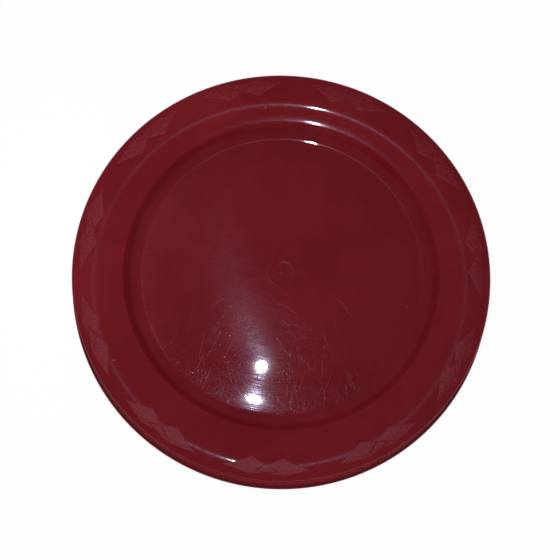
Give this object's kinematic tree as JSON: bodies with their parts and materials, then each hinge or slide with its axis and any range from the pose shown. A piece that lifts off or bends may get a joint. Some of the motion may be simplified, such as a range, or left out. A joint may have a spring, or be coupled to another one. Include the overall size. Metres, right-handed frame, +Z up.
{
  "type": "flying disc",
  "caption": "Round flying disc for throwing games: a recessed, slightly domed flight plate, a stepped and arched rim with textured crossed diamonds, and a short skirt with a beaded lip.",
  "frame": {"origin": "centre of the circle on which the lip rests, on the disc's axis", "axes": "+Z up along the disc's axis, towards its top side; +X through the middle of one pair of diamonds"},
  "size_m": [0.23, 0.23, 0.0227],
  "materials": {
    "shell": "glossy burgundy plastic with fine scuffs",
    "grip": "fine matte grain moulded in the same burgundy plastic"
  },
  "bodies": {
    "root": {"flight_plate": "shell", "gate_mark": "shell", "step_wall": "shell", "rim_crown": "shell", "rim_skirt": "shell", "grip_diamonds": "grip"}
  },
  "joints": []
}
